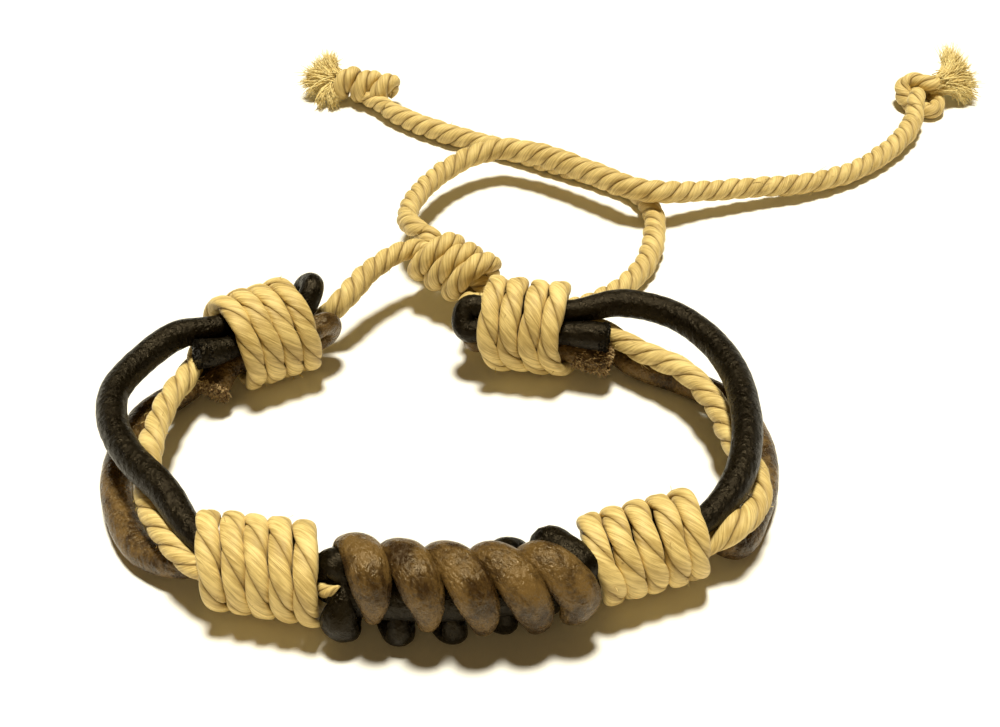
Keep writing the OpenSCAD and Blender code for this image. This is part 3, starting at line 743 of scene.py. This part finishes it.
def loops(face, first, height, front_radius, f0, f1, bow, bow_at, tip, under):
    """Rows of one cord's loops in the snake knot, from loop f0 to loop f1.

    After f loops, at the angle a, the cord lies pitch (f + 0.1 (1 - cos a) + 0.15 sin a) along the
    knot, depth (1 + sin a) out on its own face and height cos a up. Its radius swells from the back
    one to the front one as it comes out. Near the angle bow_at a loop bows out to the right, by bow[0]
    in the first loop and bow[1] in the last. It narrows to its lower tip, which moves outwards by what
    it loses, and back along the camera's line of sight by under.
    """
    depth, back_radius = 1.62, 0.8
    rows = []
    for i in range(round(f0 * 12), round(f1 * 12) + 1):
        f, a = i / 12, np.radians(30 * i)
        s = first + pitch * (f + 0.1 * (1 - np.cos(a)) + 0.15 * np.sin(a))
        s += np.interp(f, [0, 5], bow) * (0.5 + 0.5 * np.cos(a - np.radians(bow_at)))**1.5
        r = (front_radius + back_radius) / 2 + (front_radius - back_radius) / 2 * np.sin(a + np.radians(15))
        lost = tip * r * max(0, np.cos(a - np.radians(175)))**4
        centre = in_knot(s, face * depth * (1 + np.sin(a)), height * np.cos(a) - 1.4 * lost)
        rows.append(row(centre + under * max(0, -np.cos(a - 0.2)) * sight, r - lost))
    return rows


black_rows = (
    turned_back(LEFT, "black_end", "black_side", 2.8, (0, -0.5), 2.5, 1.7)
    + [[-27.2, 13.4, 7.9, 1.5], [-30.5, 9.5, 7.5, 1.5], [-32.2, 4.5, 7.5, 1.5], [-31.5, 0, 7.5, 1.5],
       [-28.9, -5, 7.5, 1.5], [-25.2, -9.2, 7.3, 1.5],
       row(front_place(-wrap_end + 0.3, 122), bound_r), row(front_place(-knot_half - 2, 68), bound_r),
       row(front_place(-knot_half - 0.4, 64), bound_r),
       row(in_front(-10.8, -0.3, 2.3), 1.5), row(in_front(-9.7, 0.4, 1.1), 1),
       row(in_front(-9.6, 1.7, 0), 1.2), row(in_front(-9.9, 2.4, -1.5), 1.55),
       row(in_front(-9.6, 1.9, -2.8), 1.4), row(in_front(-9.5, 1.1, -2.4), 1.1),
       row(in_front(-9.4, 0.1, -1.3), 0.9)]
    + loops(-1, first_loop - pitch / 2, height=3.05, front_radius=1.65, f0=0.8, f1=5,
            bow=(0, 1), bow_at=180, tip=0, under=0.7)
    + [row(in_knot(9.8, 0, 2.75), 1.35), row(in_knot(10.9, 1.5, 2), 1.3),
       row(front_place(knot_half + 0.4, 36), bound_r), row(front_place(wrap_end - 6, 75), bound_r),
       row(front_place(wrap_end - 0.3, 90), bound_r),
       [28, -8, 7, 1.5], [29.5, -3, 7.5, 1.5], [30, 3, 7.5, 1.5], [29.5, 8, 7.5, 1.5],
       [27.5, 13.5, 7.5, 1.5], [24, 17.5, 7.6, 1.5], [19, 19, 7.9, 1.5]]
    + turned_back(RIGHT, "black_end", "black_side", 4, (0, 0), 2.4)[::-1])
brown_rows = (
    turned_back(LEFT, "brown_end", "brown_side", 2, (1.3, 1.1), lift=-0.25)
    + [[-27, 12, 1.8, 1.4], [-30.3, 8.2, 1.6, 1.5], [-31.7, 3, 1.6, 1.5], [-31.7, -2, 1.6, 1.5],
       [-30, -7.5, 1.6, 1.5], [-27.5, -11.5, 1.6, 1.5], [-24, -14, 2.3, 1.4],
       row(front_place(-wrap_end + 0.3, -113), bound_r), row(front_place(-knot_half - 2, -146), bound_r),
       row(front_place(-knot_half - 0.4, -150), bound_r), row(in_front(-11.6, -2.4, 0.3), 1.05)]
    + loops(1, first_loop, height=2.9, front_radius=1.8, f0=0, f1=4.25,
            bow=(0.85, 0.85), bow_at=115, tip=0.42, under=2.5)
    + [row(in_knot(9.4, 2.4, -2), 1.4), row(in_knot(10.9, 1.2, -2), 1.25),
       row(front_place(knot_half + 0.4, -87), bound_r), row(front_place(wrap_end - 6, -135), bound_r),
       row(front_place(wrap_end - 0.3, -140), bound_r),
       [28, -11, 1.65, 1.4], [30.5, -6.5, 1.6, 1.5], [32, -1, 1.6, 1.5], [32, 4, 1.6, 1.5],
       [30, 9.5, 1.6, 1.5], [26, 13.2, 1.6, 1.5], [21, 16, 1.75, 1.45], [17.2, 18.8, 2.3, 1.35]]
    + turned_back(RIGHT, "brown_end", "brown_side", 4, (0, 0.8), 1.5)[::-1])
print("rows of the leather cords' routes:", len(black_rows), "and", len(brown_rows))

# %% The leather cords
def pulled_flat(centres, radii, grid):
    """The loops of the snake knot, pulled flat: 0.75 as thick away from the knot's middle line, 1.08 as
    wide, and moved out by 0.2 radii, which keeps most of their outside in place. Where a loop dives
    through the middle it stays round."""
    thinner, wider, moved, knot_end = 0.25, 0.08, 0.2, 11.4
    from_middle = centres - arc_middle
    h = np.arctan2(from_middle[:, 0], -from_middle[:, 1])
    off = from_middle - arc_r * np.stack([np.sin(h), -np.cos(h), 0 * h], axis=1) + 1e-6
    out = unit(off)
    across = unit(np.cross(directions(centres), out))
    share = (np.clip(knot_end - np.abs(arc_r * (h - np.radians(arc_turn))), 0, 1)
             * np.clip((np.linalg.norm(off, axis=1) - 1) / 1.2, 0, 1))[:, None, None]
    reach = grid - centres[:, None]
    thick = np.sum(reach * out[:, None], axis=2, keepdims=True)
    wide = np.sum(reach * across[:, None], axis=2, keepdims=True)
    return (grid + share * (moved * radii[:, None, None] - thinner * thick) * out[:, None]
            + share * wider * wide * across[:, None])


def leather(name, rows, finish, slot, seed):
    """A round cord with a slightly uneven skin: its radius times 1 + a few small waves round and along
    it. The last ring at each end is drawn in, so that the cut edge is not sharp."""
    sides, gap, drawn_in = 44, 0.26, 0.9
    centres, radii, s = along(rows, gap)
    outs = carried(directions(centres), UP)
    angle = (np.arange(sides) * 2 * np.pi / sides)[None]
    along_s, grown = s[:, None], radii[:, None]
    uneven = (0.012 * wander(along_s * 0.55 + np.cos(angle + seed) * 1.3, seed)
              + 0.008 * wander(along_s * 1.9 + np.sin(2 * angle) * 1.1, seed + 1)
              + 0.006 * wander(along_s * 4.2 + np.cos(3 * angle + 2), seed + 2))
    reach = grown * (1 + uneven)
    reach[[0, -1]] *= drawn_in
    grid = pulled_flat(centres, radii, rings_round(centres, outs, reach, angle))
    skin = np.stack([grown * np.cos(angle), grown * np.sin(angle), along_s + 0 * angle], axis=-1)
    return surface(name, grid, finish, slot, skin=skin), centres


black_cord, black_line = leather("black_leather_cord", black_rows, black_finish, "black_leather", 31)
brown_cord, brown_line = leather("brown_leather_cord", brown_rows, brown_finish, "brown_leather", 35)
# A third strand inside the knot closes the gaps between the loops. It is thinner at the left end, where
# the twine's tip lies over it.
core_end_r, core_r = 1.7, 2.3
core_rows = [row(in_front(s, 0, 0), np.interp(s, [-11, -9.5], [core_end_r, core_r]))
             for s in np.linspace(-12.9, 11.7, 13)]
leather("snake_knot_core", core_rows, black_finish, "black_leather", 37)
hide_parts("black_cord")
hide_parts("brown_cord")
print("leather lengths:", round(length_of(black_line), 3), "m and", round(length_of(brown_line), 3), "m")

# %% [markdown]
# ## The twine wraps
#
# A two-ply twine is wound tightly round each bundle, pressed a little flat. A stack of rings would be
# simpler, but real turns lean and run into each other, so the middle line is a helix. The out vector of
# each ring points away from the bundle, so the flat side lies on the strands. The ends are tucked under,
# which is how such a whipping holds without a knot. One tip shows right of the front left wrap.

# %% The twine wraps
def wrap(name, node, start, way, side, bundle_r, turns, first, seed,
         flare=0.0, front=0.0, low=0.0, early=0.0, late=0.0):
    """A helix of twine round the line from start along way: one twine width further for each turn.

    The distance out is the bundle's radius, half the twine's thickness and the flare so far. At both
    ends, over an eighth of a turn, the twine sinks inwards and gets thinner. The turns lean: their
    front lies further along way than their back by front, and their underside by low. The turns' tops
    spread from early further back in the first turn to late further on in the last.
    """
    tuck, per_turn, sink, tight = 0.13, 92, 1.1, 1.06
    turn = np.linspace(-tuck, turns + tuck, round((turns + 2 * tuck) * per_turn))
    a = np.radians(first) + 2 * np.pi * turn
    outs = np.cos(a)[:, None] * -side + np.sin(a)[:, None] * UP
    beyond = np.clip(np.maximum(-turn, turn - turns) / tuck, 0, 1)[:, None]
    sunk = beyond**2 * (3 - 2 * beyond)
    out = bundle_r + twine_t / 2 + flare * np.clip(turn / turns, 0, 1) + wander(turn * 2.9, seed, 0.05)
    lean = (front * -np.cos(a) + low * np.maximum(-np.sin(a), 0)
            + np.maximum(np.sin(a), 0) * (late * turn / turns - early * (1 - turn / turns)))
    centres = (start + way * (twine_w * (0.5 + turn) + lean + wander(turn * 2.2, seed + 1, 0.06))[:, None]
               + (out[:, None] - sink * sunk) * outs)
    s = np.concatenate([[0], np.cumsum(np.linalg.norm(np.diff(centres, axis=0), axis=1))])
    ways = directions(centres)
    outs = unit(outs - ways * np.sum(outs * ways, axis=1, keepdims=True))
    radii = (twine_w / 2) * tight * (1 - 0.35 * sunk[:, 0])
    grid, fibre, groove, _ = plied(centres, radii, s, outs, count=2, lay=8.4, phase=0.8 * seed, depth=0.33,
                                   tall=twine_t / twine_w * tight, square=2.5, seed=seed, columns=28)
    # The twine carries the same painted shade in its ply valleys.
    piece = surface(name, grid, twine_finish, "natural_twine", fibre=fibre, groove=groove)
    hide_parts(node)
    strays(name + "_strays", centres, twine_w / 2 * 0.9, 35, seed + 30, twine_finish, "natural_twine")


def flat_way(degrees):
    """The direction at an angle on the table, and the one square to it on the viewer's side."""
    h = np.radians(degrees)
    return np.array([np.cos(h), np.sin(h), 0]), np.array([np.sin(h), -np.cos(h), 0])


wrap("front_left_twine", "front_left_wrap", in_front(-wrap_end, 0, 0), *flat_way(left_heading),
     bundle_r=2.85, turns=4.75, first=30, seed=41, flare=0.35, front=0.9, late=0.7)
wrap("front_right_twine", "front_right_wrap", in_front(knot_half + 0.01, 0, 0), *flat_way(right_heading),
     bundle_r=2.75, turns=4.75, first=0, seed=43, front=-1.0, early=1.2)
wrap("rear_left_twine", "rear_left_wrap", rear_at(LEFT, 0, 0, -LEFT.ring), rear_dir(LEFT), rear_side(LEFT),
     bundle_r=3.8, turns=4, first=-60, seed=45)
wrap("rear_right_twine", "rear_right_wrap", rear_at(RIGHT, rear_wrap_l, 0, -RIGHT.ring), -rear_dir(RIGHT),
     rear_side(RIGHT), bundle_r=3.55, turns=4, first=-60, seed=47, front=-0.4, low=0.9, late=0.7)

# %% The front left twine's tip
tip_rows = [row(in_front(-12.2, 1.6, 0.4), 0.75), row(in_front(-11, 1.6, 0.9), 0.6),
            row(in_front(-9.9, 1.6, 1.8), 0.12)]
twine_tip, _, _ = rope("front_left_twine_tip", tip_rows, UP, seed=49, lay=5)

# %% [markdown]
# ## The cut ends
#
# Leather is fibre all through. Where the brown cord was cut, the fibres stand out of the face in a short
# tan brush; the black one was cut cleaner. Both are made with the same helper as the frayed ropes.

# %% The cut ends
def brush(name, centres, at_end, finish, slot, seed, count, long, sleeve, tangle):
    """Short fibres over a cord's cut face, leaning outwards more towards its edge. With a sleeve, they
    also stand out of the viewer's side of the cord, back from the face by up to that length."""
    rng = np.random.default_rng(seed)
    way = unit(centres[-1] - centres[-4]) if at_end else unit(centres[0] - centres[3])
    middle = centres[-1] if at_end else centres[0]
    u = unit(np.cross(way, UP + 0.3))
    v = np.cross(way, u)
    rim = 0.95 * leather_r
    r, a = rim * np.sqrt(rng.uniform(0, 1, count)), rng.uniform(0, 2 * np.pi, count)
    back = rng.uniform(-1, 1, count).clip(0, 1) * sleeve
    r = np.where(back > 0, rim, r)
    spoke = np.cos(a)[:, None] * u + np.sin(a)[:, None] * v
    roots = middle + spoke * r[:, None] - (0.15 + back)[:, None] * way
    lean = way + 0.6 * spoke * (r / leather_r)[:, None] + rng.normal(size=(count, 3)) * 0.5
    tips = roots + unit(lean) * rng.uniform(0.3, 1, (count, 1)) * long
    bends = (roots + tips) / 2 + rng.normal(size=(count, 3)) * tangle
    tips[:, 2], bends[:, 2] = np.maximum(tips[:, 2], 0.1), np.maximum(bends[:, 2], 0.1)
    return fibres(name, roots, bends, tips, rng.uniform(0.05, 0.11, count), finish, slot)


def cut_finish(name, dark, light):
    """Bare fibre of cut leather, in fine spots from dark to light."""
    f = Finish(name, Roughness=0.85, Specular_IOR_Level=0.1)
    spots = f.noise(f.add("ShaderNodeTexCoord", output=3), scale=2600.0, detail=2.0)
    f.show({"Base_Color": f.blend(f.ramp(spots, 0.4, 0.62), dark, light)})
    return f.material


brown_cut = cut_finish("brown_cut_face", (0.12, 0.07, 0.028, 1), (0.5, 0.36, 0.18, 1))
black_cut = cut_finish("black_cut_face", (0.003, 0.0022, 0.001, 1), (0.009, 0.0065, 0.003, 1))
brush("brown_left_cut", brown_line, False, brown_cut, "brown_leather", seed=51,
      count=700, long=0.85, sleeve=0.4, tangle=0.3)
brush("brown_right_cut", brown_line, True, brown_cut, "brown_leather", seed=52,
      count=900, long=0.8, sleeve=3.5, tangle=0.25)
brush("black_left_cut", black_line, False, black_cut, "black_leather", seed=53,
      count=500, long=0.35, sleeve=1.2, tangle=0.12)
brush("black_right_cut", black_line, True, black_cut, "black_leather", seed=54,
      count=500, long=0.35, sleeve=0.8, tangle=0.12)

# %% [markdown]
# ## The room
#
# A white table under a strong ceiling lamp, nearly overhead and a little behind: it turns the table plain
# white and drops dense shadows right under the strands. A weak, wide and warm lamp from the viewer's side
# stands for the room. The dim brown light from all round gives the shadows their colour. Area lamps would
# do too, but a sun lamp lights a table of any size evenly, and its angle sets how soft shadows are.

# %% The room
floor_mesh = bpy.data.meshes.new("table")
floor_mesh.from_pydata([(-3, -3, 0), (3, -3, 0), (3, 3, 0), (-3, 3, 0)], [], [(0, 1, 2, 3)])
floor = bpy.data.objects.new("table", floor_mesh)
bpy.context.collection.objects.link(floor)
white = Finish("white_table", Base_Color=(0.9, 0.9, 0.88, 1), Roughness=0.7, Specular_IOR_Level=0.1)
floor_mesh.materials.append(white.material)
world = bpy.data.worlds.new("room")
world.use_nodes = True
all_round = world.node_tree.nodes["Background"].inputs
all_round["Color"].default_value = (1.0, 0.64, 0.255, 1)
all_round["Strength"].default_value = 0.06
bpy.context.scene.world = world


def lamp(name, energy, angle, colour, way):
    """A lamp so far off that its light is even: the way its light goes, and how wide it looks."""
    light = bpy.data.lights.new(name, "SUN")
    light.energy, light.angle, light.color = energy, np.radians(angle), colour
    holder = bpy.data.objects.new(name, light)
    bpy.context.collection.objects.link(holder)
    holder.rotation_euler = Vector(way).to_track_quat("-Z", "Y").to_euler()
    print(f"{name}: strength {energy}, {angle} degrees wide")


lamp("ceiling_lamp", 5.0, 12, (1.0, 0.95, 0.79), (0, -0.14, -1))
lamp("room_behind_the_viewer", 0.45, 70, (1.0, 0.7, 0.3), (0, 0.93, -0.36))
# Bright parts run to white, as they do in a phone's picture.
bpy.context.scene.view_settings.view_transform = "Standard"
